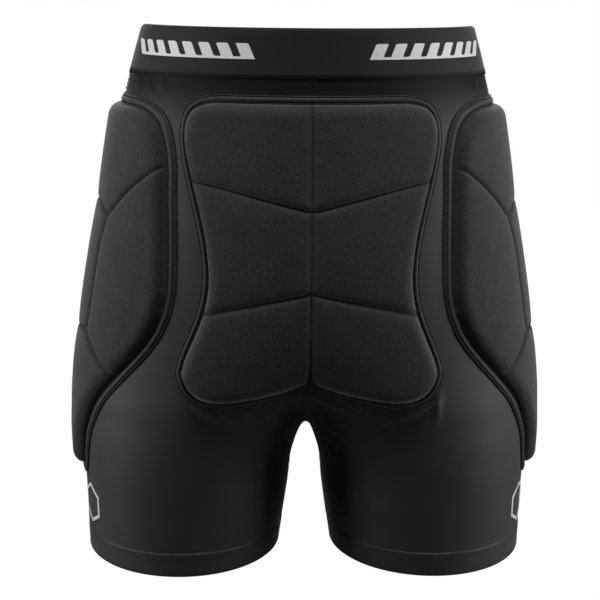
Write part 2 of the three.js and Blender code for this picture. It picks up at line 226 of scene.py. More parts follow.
# ---- Outlines and meshes
def bezier(start, *segments, count=10):
    """An outline of straight lines (one point) and curves (two or three), in millimetres."""
    points = [np.array(start, float)]
    for segment in segments:
        corners = [points[-1]] + [np.array(q, float) for q in segment]
        steps = 1 if len(segment) == 1 else count
        for k in range(1, steps + 1):
            t = k / steps
            level = corners
            while len(level) > 1:
                level = [a + (b - a) * t for a, b in zip(level, level[1:])]
            points.append(level[0])
    return np.array(points) * MM


def mirrored(half):
    """A closed outline from its right half, which starts and ends on the middle line."""
    left = half[1:-1][::-1] * (-1, 1)
    return np.vstack([half, left])


def unit(vectors):
    return vectors / np.linalg.norm(vectors, axis=1, keepdims=True)


def length_along(points):
    """How far along a line each of its points is."""
    return np.concatenate([[0], np.cumsum(np.linalg.norm(np.diff(points, axis=0), axis=1))])


def resample(points, spacing, closed=True):
    points = np.vstack([points, points[:1]]) if closed else points
    length = length_along(points)
    count = max(int(round(length[-1] / spacing)), 2)
    at = np.linspace(0, length[-1], count + 1)
    if closed:
        at = at[:-1]
    return np.column_stack([np.interp(at, length, points[:, k]) for k in range(points.shape[1])])


def direction(line, closed):
    """Which way a line runs at each of its points."""
    return unit(np.roll(line, -1, axis=0) - np.roll(line, 1, axis=0) if closed else np.gradient(line, axis=0))


def inward(line, distance, closed=True):
    """A line moved to its left, which is inward on an anticlockwise outline."""
    along = direction(line, closed)
    return line + np.column_stack([-along[:, 1], along[:, 0]]) * distance


def nearest_on(points, line, closed=False):
    """Each point's distance to a line, and how far along the line its nearest place is."""
    a = line if closed else line[:-1]
    b = np.roll(line, -1, axis=0) if closed else line[1:]
    best = np.full(len(points), 1e9)
    along = np.zeros(len(points))
    passed = 0.0
    for p0, p1 in zip(a, b):
        d = p1 - p0
        length = max(math.hypot(*d), 1e-9)
        t = np.clip(((points - p0) @ d) / length ** 2, 0, 1)
        away = np.hypot(points[:, 0] - p0[0] - t * d[0], points[:, 1] - p0[1] - t * d[1])
        nearer = away < best
        best[nearer] = away[nearer]
        along[nearer] = passed + t[nearer] * length
        passed += length
    return best, along


def distance_to(points, lines):
    """Each point's distance to the nearest of several lines."""
    return np.min([nearest_on(points, line)[0] for line in lines], axis=0)


def inside(points, outline):
    """Whether each point lies inside a closed outline."""
    x, y = points[:, 0], points[:, 1]
    result = np.zeros(len(points), bool)
    for (x0, y0), (x1, y1) in zip(outline, np.roll(outline, -1, axis=0)):
        crosses = (y0 > y) != (y1 > y)
        rise = y1 - y0 if abs(y1 - y0) > 1e-12 else 1e-12
        result ^= crosses & (x < (x1 - x0) * (y - y0) / rise + x0)
    return result


def tree_of(points):
    tree = KDTree(len(points))
    for k, point in enumerate(points):
        tree.insert((*point, 0.0), k)
    tree.balance()
    return tree


def runs_of(line, kept):
    """The unbroken stretches of a line whose points are kept."""
    ends = np.flatnonzero(np.diff(kept)) + 1
    pieces = zip(np.split(line, ends), np.split(kept, ends))
    return [piece for piece, keep in pieces if keep[0] and len(piece) > 1]


def only_used(flat, faces):
    """Drops the points that no face uses."""
    used = np.unique(faces)
    number = np.full(len(flat), -1)
    number[used] = np.arange(len(used))
    return flat[used], number[faces]


def triangulate(outline, lines, spacing, rings=()):
    """Fills an outline with near-even triangles that follow the lines and closed rings."""
    pieces = [(line, True) for line in (outline, *rings)]
    for line in lines:
        kept = inside(line, outline) & (nearest_on(line, outline, True)[0] > spacing * 0.3)
        pieces += [(stretch, False) for stretch in runs_of(line, kept)]
    edges, count = [], 0
    for points, closed in pieces:
        last = len(points) if closed else len(points) - 1
        edges += [(count + k, count + (k + 1) % len(points)) for k in range(last)]
        count += len(points)
    fixed = np.vstack([points for points, _ in pieces])
    low, high = outline.min(0), outline.max(0)
    fill = []
    for k, z in enumerate(np.arange(low[1], high[1], spacing * 0.866)):
        row = np.arange(low[0] + (k % 2) * spacing / 2, high[0], spacing)
        fill.append(np.column_stack([row, np.full(len(row), z)]))
    fill = np.vstack(fill)
    fill = fill[inside(fill, outline)]
    tree = tree_of(fixed)
    clear = [tree.find((*point, 0.0))[2] > spacing * 0.6 for point in fill]
    points = np.vstack([fixed, fill[np.array(clear)]])
    found = delaunay_2d_cdt([Vector(q) for q in points], edges, [list(range(len(outline)))], 1, 1e-6)
    return only_used(np.array([tuple(v) for v in found[0]]), np.array([tuple(f) for f in found[2]]))


def add_object(name, data):
    obj = bpy.data.objects.new(name, data)
    SCENE.collection.objects.link(obj)
    return obj


def shade(mesh, smooth):
    mesh.polygons.foreach_set("use_smooth", [smooth] * len(mesh.polygons))


def new_object(name, verts, faces, material):
    mesh = bpy.data.meshes.new(name)
    mesh.from_pydata(np.asarray(verts).tolist(), [], [list(map(int, f)) for f in faces])
    mesh.update()
    shade(mesh, True)
    if material is not None:
        mesh.materials.append(material)
    return add_object(name, mesh)


def vertices_of(obj):
    co = np.empty(len(obj.data.vertices) * 3)
    obj.data.vertices.foreach_get("co", co)
    return co.reshape(-1, 3)


def set_vertices(obj, co):
    obj.data.vertices.foreach_set("co", np.asarray(co, np.float32).ravel())
    obj.data.update()


def apply_modifiers(obj):
    graph = bpy.context.evaluated_depsgraph_get()
    mesh = bpy.data.meshes.new_from_object(obj.evaluated_get(graph), depsgraph=graph)
    obj.modifiers.clear()
    old = obj.data
    obj.data = mesh
    bpy.data.meshes.remove(old)


def finish_piece(obj, slot, *nodes):
    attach(obj, BODY)
    if nodes:
        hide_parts(*nodes)
    return obj


# ---- Materials
def rgba(colour):
    """A colour, which is one number where it is grey."""
    return (*colour, 1) if isinstance(colour, tuple) else (colour, colour, colour, 1)


class Nodes:
    """A short way to write a material's nodes."""

    def __init__(self, name, colour, roughness, sheen=0.0, specular=0.4):
        self.material = bpy.data.materials.new(name)
        self.material.use_nodes = True
        self.tree = self.material.node_tree
        self.shader = self.tree.nodes["Principled BSDF"]
        values = {"Base Color": rgba(colour), "Roughness": roughness, "Sheen Weight": sheen,
                  "Sheen Roughness": 0.45, "Specular IOR Level": specular}
        for socket, value in values.items():
            self.shader.inputs[socket].default_value = value
        self.place = self.tree.nodes.new("ShaderNodeTexCoord").outputs["Object"]

    def add(self, kind, **values):
        node = self.tree.nodes.new("ShaderNode" + kind)
        for key, value in values.items():
            socket = key.replace("_", " ")
            if socket in node.inputs:
                self.put(value, node.inputs[socket])
            else:
                setattr(node, key, value)
        return node

    def put(self, value, socket):
        if isinstance(value, bpy.types.NodeSocket):
            self.tree.links.new(value, socket)
        else:
            socket.default_value = value

    def math(self, operation, a, b):
        node = self.add("Math", operation=operation)
        self.put(a, node.inputs[0])
        self.put(b, node.inputs[1])
        return node.outputs[0]

    def mix(self, a, b, share):
        """a and b added up, with b's share between 0 and 1."""
        return self.math("ADD", self.math("MULTIPLY", a, 1 - share), self.math("MULTIPLY", b, share))

    def noise(self, scale, detail=2.0, stretch=(1, 1, 1)):
        mapping = self.add("Mapping", Vector=self.place, Scale=stretch)
        return self.add("TexNoise", Vector=mapping.outputs[0], Scale=scale, Detail=detail).outputs["Fac"]

    def wave(self, place, scale, direction):
        node = self.add("TexWave", Vector=place, Scale=scale, bands_direction=direction)
        return node.outputs["Fac"]

    def courses(self, pitch):
        """Level rows, one above another."""
        return self.wave(self.place, math.tau / 20 / pitch, "Z")

    def wales(self, pitch):
        """Upright columns, side by side round the body."""
        level = self.add("Mapping", Vector=self.place, Scale=(1, 1, 0))
        return self.wave(level.outputs[0], math.tau / 10 / pitch, "DIAGONAL")

    def knit(self, pitch):
        """Loops of yarn in rows and columns."""
        return self.math("MULTIPLY", self.courses(pitch), self.wales(pitch))

    def vary_colour(self, factor, low, high, lowest=0.35, highest=0.65):
        ramp = self.add("ValToRGB", Fac=factor)
        ramp.color_ramp.elements[0].position = lowest
        ramp.color_ramp.elements[0].color = rgba(low)
        ramp.color_ramp.elements[1].position = highest
        ramp.color_ramp.elements[1].color = rgba(high)
        self.put(ramp.outputs["Color"], self.shader.inputs["Base Color"])

    def vary_roughness(self, factor, low, high):
        spread = self.add("MapRange", Value=factor, To_Min=low, To_Max=high)
        self.put(spread.outputs[0], self.shader.inputs["Roughness"])

    def bump(self, height, depth, strength=1.0):
        node = self.add("Bump", Height=height, Distance=depth, Strength=strength)
        self.put(node.outputs[0], self.shader.inputs["Normal"])


PAINTED_SHADE_LOW, PAINTED_SHADE_HIGH = 355 * MM, 385 * MM  # where painted shade darkens the jersey and dims its sheen and specular, below the waistband
# the share of colour, sheen and specular that the painted shade leaves at the top
PAINTED_SHADE_KEEP = 0.27


def make_jersey():
    """Smooth stretch knit with a faint sheen, and painted shade towards the waist: darker colour, less sheen
    and less specular.
    """
    m = Nodes("stretch jersey", 0.012, 0.62, sheen=0.2, specular=0.5)
    height = m.add("SeparateXYZ", Vector=m.place).outputs["Z"]
    # painted shade: colour, sheen and specular fall with height towards the waist
    fall = m.add("MapRange", Value=height, From_Min=PAINTED_SHADE_LOW, From_Max=PAINTED_SHADE_HIGH, To_Min=1, To_Max=PAINTED_SHADE_KEEP)
    painted_shade = fall.outputs[0]
    grain = m.noise(1500, 1)
    cloud = m.mix(m.noise(40, 3), grain, 0.4)
    m.vary_colour(m.math("MULTIPLY", cloud, painted_shade), 0.006, 0.0145, 0.1, 0.65)
    m.put(m.math("MULTIPLY", painted_shade, 0.2), m.shader.inputs["Sheen Weight"])
    m.put(m.math("MULTIPLY", painted_shade, 0.5), m.shader.inputs["Specular IOR Level"])
    m.vary_roughness(grain, 0.56, 0.68)
    m.bump(m.mix(m.knit(0.8 * MM), grain, 0.45), 0.1 * MM, 0.5)
    return m.material


def make_pad_knit():
    """The pads' knit: drier than the jersey, with a fine fleck."""
    m = Nodes("pad knit", 0.02, 0.8, sheen=0.3, specular=0.3)
    cloud = m.noise(70, 3)
    fleck = m.noise(760, 3)
    m.vary_colour(m.mix(cloud, fleck, 0.8), 0.010, 0.031, 0.36, 0.64)
    m.vary_roughness(fleck, 0.7, 0.9)
    m.bump(m.mix(m.knit(1.1 * MM), fleck, 0.6), 0.22 * MM, 0.7)
    return m.material


def make_band_knit():
    """The waistband's knit: dense and matt."""
    m = Nodes("waistband knit", 0.012, 0.72, sheen=0.2, specular=0.3)
    cloud = m.noise(30, 3, (1, 1, 0.4))
    grain = m.noise(1300, 1)
    m.vary_colour(m.mix(cloud, grain, 0.4), 0.0065, 0.0105)
    m.vary_roughness(grain, 0.65, 0.8)
    m.bump(m.mix(m.knit(0.8 * MM), grain, 0.5), 0.1 * MM, 0.5)
    return m.material


def make_tape():
    """Folded binding tape: a fine rib across the tape's width."""
    m = Nodes("binding tape", 0.017, 0.6, sheen=0.2)
    grain = m.noise(900, 2)
    m.vary_colour(grain, 0.012, 0.023)
    m.bump(m.mix(m.courses(0.7 * MM), grain, 0.5), 0.12 * MM, 0.6)
    return m.material


def make_thread():
    m = Nodes("dark thread", 0.005, 0.6, specular=0.2)
    twist = m.wave(m.place, 900.0, "DIAGONAL")
    m.vary_colour(twist, 0.003, 0.007)
    m.bump(twist, 0.06 * MM, 0.5)
    return m.material


def make_print():
    """White film pressed onto knit, which shows through it a little."""
    m = Nodes("white print", 0.8, 0.55)
    grain = m.noise(1100, 2)
    m.vary_colour(grain, 0.72, 0.84)
    m.bump(m.mix(m.knit(0.8 * MM), grain, 0.5), 0.05 * MM, 0.5)
    return m.material


def make_label():
    m = Nodes("label satin", (0.72, 0.72, 0.69), 0.4, sheen=0.2)
    grain = m.noise(1400, 2)
    m.vary_colour(grain, (0.66, 0.66, 0.63), (0.76, 0.76, 0.73))
    m.bump(m.wales(0.4 * MM), 0.04 * MM, 0.5)
    return m.material


def make_elastic():
    """Woven elastic: upright ribs over rubber."""
    m = Nodes("woven elastic", 0.28, 0.7)
    ribs = m.wales(1.6 * MM)
    m.vary_colour(m.mix(ribs, m.noise(900, 2), 0.4), 0.22, 0.33)
    m.bump(ribs, 0.2 * MM, 0.7)
    return m.material


JERSEY = make_jersey()
PAD_KNIT = make_pad_knit()
BAND_KNIT = make_band_knit()
TAPE = make_tape()
THREAD = make_thread()
PRINT = make_print()
LABEL = make_label()
ELASTIC = make_elastic()


# ---- The body panels
SEAM_HALF = 0.03 * MM
FABRIC = 1.0 * MM
TUCK = 1.5 * MM  # how far the panels reach up inside the waistband


def tube_mesh(side, rows=60, sides=96):
    """One half of the body as a closed tube, longer than the shorts at both ends."""
    heights = np.linspace(-22 * MM, RIM + 12 * MM, rows)
    angle = np.arange(sides) / sides * math.tau
    rings = []
    for z, centre, half, back, front in zip(heights, *form_at(heights)):
        depth = np.where(np.sin(angle) > 0, front, back)
        x = side * centre + half * np.cos(angle)
        rings.append(np.column_stack([x, FORM_Y + depth * np.sin(angle), np.full(sides, z)]))
    faces = strip_faces(rows, sides)[:(rows - 1) * sides]
    ends = [tuple(range(sides))[::-1], tuple(range((rows - 1) * sides, rows * sides))]
    return np.vstack(rings), faces + ends


def make_body_skin(voxel=3.4 * MM):
    """The body as one even skin, whose closed ends are cut away later."""
    right, faces = tube_mesh(1)
    left, _ = tube_mesh(-1)
    faces += [np.add(face, len(right)) for face in faces]
    skin = new_object("skin", np.vstack([right, left]), faces, None)
    remesh = skin.modifiers.new("remesh", "REMESH")
    remesh.mode = "VOXEL"
    remesh.voxel_size = voxel
    apply_modifiers(skin)
    return skin


def cut(bm, point, normal, clear=True):
    """Cuts along a plane, and removes what lies on the normal's side of it."""
    geometry = bm.verts[:] + bm.edges[:] + bm.faces[:]
    bmesh.ops.bisect_plane(bm, geom=geometry, dist=1e-6, plane_co=point, plane_no=normal, clear_outer=clear)


# Folds in the fabric behind: two ends in X and Z, half-width and height, in millimetres.
FOLDS = [
    ((-88, 141), (-64, 127), 2.4, 2.2),
    ((-77, 138), (-50, 125), 2.2, 2.0),
    ((-60, 136), (-34, 126), 2.4, 2.1),
    ((-38, 135), (-19, 125), 2.2, 1.8),
    ((99, 143), (38, 127), 2.2, 2.2),
    ((84, 136), (34, 121), 2.0, 1.8),
    ((101, 151), (98, 124), 3.2, 1.5),
    ((3, 148), (42, 131), 2.8, 1.6),
    ((18, 118), (27, 108), 2.2, 1.4),
    ((16, 106), (26, 97), 2.2, 1.2),
    ((-124, 391), (-120, 374), 2.6, 1.5),
    ((-133, 388), (-130, 374), 2.4, 1.5),
    ((-113, 391), (-110, 379), 2.4, 1.0),
    ((128, 389), (125, 376), 2.4, 1.2),
]


RIPPLE = 0.2 * MM  # how far the whole fabric strays from the form


def relief(p):
    """Folds and strain lines that stand on the fabric, in metres."""
    rise = np.zeros(len(p))
    is_behind = smoothstep((FORM_Y - 20 * MM - p[:, 1]) / (25 * MM))
    for start, end, width, height in FOLDS:
        line = np.array([start, end], float) * MM
        away, along = nearest_on(p[:, [0, 2]], line)
        length = np.linalg.norm(line[1] - line[0])
        swell = np.exp(-((along / length - 0.4) / 0.4) ** 2)
        rise += height * MM * swell * np.exp(-(away / (width * MM)) ** 2) * is_behind
    ripple = np.sin(p[:, 0] * 61 + 1.3 * np.sin(p[:, 2] * 23)) * np.sin(p[:, 2] * 37 + p[:, 1] * 41)
    return rise + RIPPLE * ripple


def seam_relief(away):
    """A flat seam: a low ridge of two edges, which roll down where they meet."""
    ridge = 0.4 * MM * np.exp(-(away / (2.6 * MM)) ** 4)
    roll = 0.45 * MM * np.exp(-(away / (0.7 * MM)) ** 2)
    return ridge - roll


# The gusset's right half in X and Z: its tip behind, its widest point, its end on the thigh.
GUSSET = [Vector((x, 0, z)) * MM for x, z in ((0, 166), (40, 140), (8, 50))]


def gusset_planes(side):
    """The two planes that bound half of the gusset, as (point, normal away from it)."""
    planes = []
    for a, b in zip(GUSSET, GUSSET[1:]):
        along = (b - a).normalized()
        planes.append((Vector((a.x * side, 0, a.z)), Vector((-along.z * side, 0, along.x))))
    return planes


def from_gusset(p):
    """How far points lie outside the gusset's outline, measured in X and Z."""
    flat = np.column_stack([np.abs(p[:, 0]), p[:, 2]])
    outline = np.array([(v.x, v.z) for v in GUSSET])
    return nearest_on(flat, outline)[0]


def remove_gusset(bm, side):
    """Cuts the gusset's outline into a panel and removes what lies inside it."""
    planes = [(point + away * SEAM_HALF, away) for point, away in gusset_planes(side)]
    for point, away in planes:
        cut(bm, point, away, clear=False)
    gone = [f for f in bm.faces if all((f.calc_center_median() - p).dot(away) < 0 for p, away in planes)]
    bmesh.ops.delete(bm, geom=gone, context="FACES")


def panel_from(skin, name, keep, seams, *nodes):
    """A panel cut from the skin, with its folds and seams, and given its thickness inward."""
    bm = bmesh.new()
    bm.from_mesh(skin.data)
    keep(bm)
    mesh = bpy.data.meshes.new(name)
    bm.to_mesh(mesh)
    bm.free()
    obj = add_object(name, mesh)
    mesh.materials.append(JERSEY)
    shade(mesh, True)
    co = vertices_of(obj)
    away = np.min([seam(co) for seam in seams], axis=0)
    set_vertices(obj, co + form_normal(co)[0] * (relief(co) + seam_relief(away))[:, None])
    thick = obj.modifiers.new("thickness", "SOLIDIFY")
    thick.thickness = FABRIC
    thick.offset = -1
    apply_modifiers(obj)
    return finish_piece(obj, "body_jersey", *nodes)


def from_middle(p):
    return np.abs(p[:, 0])


def from_side_seam(p):
    return np.abs(p[:, 1] - FORM_Y)


def make_panels():
    skin = make_body_skin()
    set_vertices(skin, on_form(vertices_of(skin), 6)[0])
    smoother = skin.modifiers.new("finer", "SUBSURF")
    smoother.levels = 1
    apply_modifiers(skin)
    set_vertices(skin, on_form(vertices_of(skin), 3)[0])
    top = Vector((0, 0, BAND_BOTTOM + TUCK))

    def trim(bm):
        cut(bm, Vector((0, 0, HEM_TOP + 0.2 * MM)), Vector((0, 0, -1)))
        cut(bm, top, Vector((0, 0, 1)))
        drop = Vector((0, RIM_DROP, 1)).normalized()
        cut(bm, top + Vector((0, FORM_Y + DROP_START, 0)), drop)

    for side_name, side in SIDES:
        for face_name, way in (("back", -1), ("front", 1)):

            def keep(bm, side=side, way=way):
                trim(bm)
                cut(bm, Vector((side * SEAM_HALF, 0, 0)), Vector((-side, 0, 0)))
                cut(bm, Vector((0, FORM_Y + way * SEAM_HALF, 0)), Vector((0, -way, 0)))
                remove_gusset(bm, side)

            node = f"{face_name}_panel_{side_name}"
            panel = panel_from(skin, f"{node}_jersey", keep, (from_middle, from_side_seam, from_gusset), node)

    def keep_gusset(bm):
        trim(bm)
        for _, side in SIDES:
            for point, away in gusset_planes(side):
                cut(bm, point - away * SEAM_HALF, away)

    gusset = panel_from(skin, "crotch_gusset_jersey", keep_gusset, (from_gusset,), "crotch_gusset")
    bpy.data.objects.remove(skin)


# ---- Closed strips and stitches
def strip_faces(rows, size):
    """Faces of a closed run of rows that are closed loops themselves."""
    faces = []
    for k in range(rows):
        a, b = k * size, ((k + 1) % rows) * size
        faces += [(a + i, a + (i + 1) % size, b + (i + 1) % size, b + i) for i in range(size)]
    return faces


STITCH_SIDES = 6
STITCH_DIP = 5  # how steeply a stitch's ends turn down, against its radius


def stitches(name, rows, pitch, length, radius, slot):
    """Short rounded threads along rows of (points, normals, closed)."""
    rings = np.array([(-0.5, 0.25), (-0.36, 0.8), (0.0, 1.0), (0.36, 0.8), (0.5, 0.25)])
    turn = np.arange(STITCH_SIDES) / STITCH_SIDES * math.tau
    verts = []
    for points, normals, closed in rows:
        row = np.hstack([points, normals])
        if closed:
            row = np.vstack([row, row[:1]])
        along = length_along(row[:, :3])
        places = np.linspace(0, along[-1], max(4, round(along[-1] / pitch)), endpoint=not closed)
        both = np.stack([np.interp(places, along, column) for column in row.T], 1)
        place, up = both[:, :3], unit(both[:, 3:])
        forward = direction(place, closed)
        forward = unit(forward - up * np.sum(forward * up, axis=1, keepdims=True))
        aside = np.cross(up, forward)
        centre = place[:, None] + forward[:, None] * (rings[:, 0] * length)[:, None]
        centre = centre - up[:, None] * (radius * STITCH_DIP * rings[:, 0] ** 2)[:, None]
        spoke = aside[:, None] * np.cos(turn)[:, None] + up[:, None] * np.sin(turn)[:, None]
        ring = centre[:, :, None] + spoke[:, None] * (rings[:, 1] * radius)[:, None, None]
        verts.append(ring.reshape(-1, 3))
    verts = np.vstack(verts)
    size = STITCH_SIDES * len(rings)
    one = strip_faces(len(rings), STITCH_SIDES)[:size - STITCH_SIDES]
    one = [face[0:1] + face[:0:-1] for face in one]
    one += [tuple(range(STITCH_SIDES)), tuple(range(size - STITCH_SIDES, size))[::-1]]
    faces = [tuple(k * size + i for i in face) for k in range(len(verts) // size) for face in one]
    obj = new_object(name, verts, faces, THREAD)
    finish_piece(obj, slot)


# ---- The pads
LAYER_GAP = 0.4 * MM
PAD_SPACING = 2.3 * MM
CLOTH_SPACING = 4.6 * MM
EDGE_ROWS = np.array([0.7, 1.8, 3.4, 5.6]) * MM  # rows of points that follow a pad's rounded edge
SEAM_ROWS = np.array([0.6, 1.3, 2.4, 4.2]) * MM  # rows of points on each side of a quilting line
EDGE_LOW = 0.8 * MM  # how high the cover is where it meets the tape
EDGE_REACH = 10 * MM  # how far in the cover's rounded edge ends
GROOVE_REACH = 1.6 * MM  # how far a quilting line pulls the cover into a groove
SLOPE_REACH = 7 * MM  # how far the cover slopes towards a quilting line
PUCKER = 0.2 * MM  # how much the cover gathers along its quilting
PUCKER_PITCH = 6.5 * MM
PUCKER_NEAR = 1.2 * MM  # the gathers start this far from the quilting line
PUCKER_FAR = 3 * MM  # and fade over this length
SEWN = 0.5 * MM  # nearer than this to its stitching, a cover is held
SWELL_START = 4 * MM  # a cover swells in full this far from its stitching
BLEND = 0.8 * MM  # how softly values are blended between their places


def rounded(t):
    """Rises from 0 to 1 as a quarter circle does."""
    t = np.clip(t, 0, 1)
    return np.sqrt(np.maximum(1 - (1 - t) ** 2, 0))


def quilt_height(points, edge, seams, foam, dip):
    """How high a quilted cover stands before it swells."""
    to_edge = nearest_on(points, edge, True)[0]
    height = np.full(len(points), foam)
    for seam in seams:
        away, along = nearest_on(points, seam)
        pull = 0.6 * np.exp(-(away / GROOVE_REACH) ** 2) + 0.4 * np.exp(-away / SLOPE_REACH)
        height = np.minimum(height, foam - dip * pull)
        beside_seam = np.exp(-away / PUCKER_FAR) * (1 - np.exp(-away / PUCKER_NEAR))
        height += PUCKER * np.sin(along / PUCKER_PITCH * math.tau) * beside_seam
    return EDGE_LOW + (height - EDGE_LOW) * rounded(to_edge / EDGE_REACH)


def closed_cushion(name, top, bottom, faces, normal, material):
    """A sheet and its underside, joined at the edge."""
    wound = np.cross(top[faces[:, 1]] - top[faces[:, 0]], top[faces[:, 2]] - top[faces[:, 0]])
    if np.sum(wound * normal[faces[:, 0]]) < 0:
        faces = faces[:, ::-1]
    count = len(top)
    directed = {(f[k], f[(k + 1) % 3]) for f in faces for k in range(3)}
    walls = [(b, a, a + count, b + count) for a, b in directed if (b, a) not in directed]
    sheets = [tuple(f) for f in faces] + [tuple(f[::-1] + count) for f in faces]
    return new_object(name, np.vstack([top, bottom]), sheets + walls, material)


def swelling(flat, faces, top, bottom, normal, sewn, most):
    """How far each point of a cover moves out when cloth is blown up, held where it is sewn."""
    obj = closed_cushion("swelling", top, bottom, faces, normal, None)
    count = len(flat)
    group = obj.vertex_groups.new(name="sewn")
    group.add([int(k) for k in np.where(sewn)[0]] + list(range(count, 2 * count)), 1.0, "REPLACE")
    cloth = obj.modifiers.new("cloth", "CLOTH")
    settings = cloth.settings
    settings.quality = 4
    settings.use_pressure = True
    settings.uniform_pressure_force = 4
    settings.vertex_group_mass = "sewn"
    settings.effector_weights.gravity = 0
    cloth.collision_settings.use_collision = False
    for step in range(1, 21):
        SCENE.frame_set(step)
    apply_modifiers(obj)
    moved = np.sum((vertices_of(obj)[:count] - top) * normal, axis=1)
    bpy.data.objects.remove(obj)
    SCENE.frame_set(1)
    return most * np.tanh(np.maximum(moved, 0) / most)


def carried_over(values, places, new_places):
    """Values known at some places, blended to other places from their nearest neighbours."""
    tree = tree_of(places)
    result = np.empty(len(new_places))
    for k, place in enumerate(new_places):
        near = tree.find_n((*place, 0.0), 7)
        weight = np.array([1 / (found[2] ** 2 + BLEND ** 2) for found in near])
        result[k] = weight @ values[[found[1] for found in near]] / weight.sum()
    return result


def from_sewn(points, edge, seams):
    return np.minimum(nearest_on(points, edge, True)[0], distance_to(points, seams))


def swelling_of(edge, seams, place, foam, dip, most):
    """A cover's swelling on a coarse sheet of its own, as (places, how far each moves out)."""
    coarse = resample(edge, CLOTH_SPACING)
    flat, faces = triangulate(coarse, [resample(seam, CLOTH_SPACING, False) for seam in seams], CLOTH_SPACING)
    away = from_sewn(flat, edge, seams)
    base, normal = place(flat)
    top = base + normal * quilt_height(flat, edge, seams, foam, dip)[:, None]
    return flat, swelling(flat, faces, top, base + normal * LAYER_GAP, normal, away < SEWN, most)


def make_cover(name, outline, seams, place, tape, foam, dip, most, *nodes):
    """A closed quilted cushion: its cover with the foam inside."""
    edge = resample(inward(outline, tape + 0.2 * MM), PAD_SPACING)
    rings = [resample(inward(edge, distance), PAD_SPACING) for distance in EDGE_ROWS]
    rows = []
    for seam in seams:
        fine = resample(seam, PAD_SPACING, False)
        rows.append(fine)
        for distance in np.concatenate([SEAM_ROWS, -SEAM_ROWS]):
            row = inward(fine, distance, False)
            clear = distance_to(row, seams) > 0.97 * abs(distance)
            rows += runs_of(row, clear)
    flat, faces = triangulate(edge, rows, PAD_SPACING, rings)
    height = quilt_height(flat, edge, seams, foam, dip)
    places, moved = swelling_of(edge, seams, place, foam, dip, most)
    height += carried_over(moved, places, flat) * rounded(from_sewn(flat, edge, seams) / SWELL_START)
    base, normal = place(flat)
    top, bottom = base + normal * height[:, None], base + normal * LAYER_GAP
    obj = closed_cushion(name, top, bottom, faces, normal, PAD_KNIT)
    finish_piece(obj, "pad_knit", *nodes)
    threads = []
    for seam in seams:
        line = resample(seam, 1.5 * MM, False)
        line = line[inside(line, edge) & (nearest_on(line, edge, True)[0] > 2 * MM)]
        base, normal = place(line)
        height = quilt_height(line, edge, seams, foam, dip)
        threads.append((base + normal * (height + 0.05 * MM)[:, None], normal, False))
    stitches(f"{name}_stitches", threads, 3.0 * MM, 2.0 * MM, 0.36 * MM, "pad_knit")


# The tape's section: how far across it, as a share of its width, and how high, in millimetres.
TAPE_SECTION = np.array([
    (0.015, 0.4), (0.0, 0.9), (0.02, 1.4), (0.06, 1.65), (0.1, 1.5), (0.13, 0.9), (0.22, 0.9), (0.26, 1.8),
    (0.36, 2.2), (0.5, 2.3), (0.64, 2.2), (0.74, 1.8), (0.78, 0.9), (0.87, 0.9), (0.9, 1.5), (0.94, 1.65),
    (0.98, 1.4), (1.0, 0.9), (0.985, 0.4), (0.5, 0.4),
])
TAPE_GROOVES = (0.175, 0.825)
STITCH_HEIGHT = 1.2 * MM


def make_binding(name, outline, place, tape, node):
    """The folded tape round a pad, with a row of stitches sunk into it on each side."""
    path = resample(outline, 2.0 * MM)
    rings = [place(inward(path, across * tape)) for across, _ in TAPE_SECTION]
    heights = TAPE_SECTION[:, 1] * MM
    verts = np.stack([base + normal * up for (base, normal), up in zip(rings, heights)], axis=1)
    obj = new_object(name, verts.reshape(-1, 3), strip_faces(len(path), len(TAPE_SECTION)), TAPE)
    fix_normals(obj)
    finish_piece(obj, "binding_tape", node)
    rows = []
    for across in TAPE_GROOVES:
        base, normal = place(inward(path, across * tape))
        rows.append((base + normal * STITCH_HEIGHT, normal, True))
    stitches(f"{name}_stitches", rows, 3.3 * MM, 2.2 * MM, 0.4 * MM, "binding_tape")


def fix_normals(obj):
    bm = bmesh.new()
    bm.from_mesh(obj.data)
    bmesh.ops.recalc_face_normals(bm, faces=bm.faces)
    bm.to_mesh(obj.data)
    bm.free()


def seat_outline():
    """A rounded shield, waisted at mid-height, with a lobe under each buttock."""
    half = bezier(
        (0, 158),
        [(30, 146), (60, 140.5)],
        [(84, 138.5), (101, 146), (103.5, 168)],
        [(101, 190), (82, 212), (81.5, 245)],
        [(82, 284), (96, 312), (98.5, 345)],
        [(99, 370), (91, 380), (68, 381)],
        [(0, 381)],
    )
    return mirrored(half)


HIP_MIDDLE = -6 * MM  # where a hip pad's middle line is on Y from the middle of the form


def hip_outline():
    """Broad over the hip bone, tapering down the thigh, and the same ahead as behind."""
    half = bezier(
        (0, 66),
        [(18, 66)],
        [(29, 66), (34, 90)],
        [(46, 134), (84, 172), (85, 228)],
        [(85, 262), (80, 292), (76, 322)],
        [(74, 334), (71, 346), (68, 354)],
        [(63, 368), (54, 374), (36, 375)],
        [(0, 375)],
    )
    return mirrored(half) + (HIP_MIDDLE, 0)


def both_sides(line, middle=0):
    """A line given outward from a pad's middle line, on both sides of it."""
    return [line * (side, 1) + (middle, 0) for side in (1, -1)]


def make_pad(name, surface, reach, outline, seams, tape, heights, foams):
    """A quilted pad that lies on part of the form, with the tape round its edge."""
    patch = Patch(surface, reach)
    outline = patch.laid_flat(resample(outline, 2 * MM))
    seams = [patch.laid_flat(resample(seam, 2 * MM, False)) for seam in seams]
    make_cover(f"{name}_quilted", outline, seams, patch.place, tape, *heights, f"{name}_cover", *foams)
    make_binding(f"{name}_tape", outline, patch.place, tape, f"{name}_binding")


def make_seat_pad():
    seams = [np.array([(0, 120), (0, 400)]) * MM]
    seams += both_sides(bezier((0, 296), [(60, 311.5)], [(112, 322)]))
    seams += both_sides(bezier((0, 236.5), [(60, 222.5)], [(112, 208)]))
    foams = [f"seat_foam_{level}_{side}" for level in ("upper", "middle", "lower") for side, _ in SIDES]
    make_pad("seat_pad", behind, SEAT_REACH, seat_outline(), seams, SEAT_TAPE, SEAT_HEIGHTS, foams)


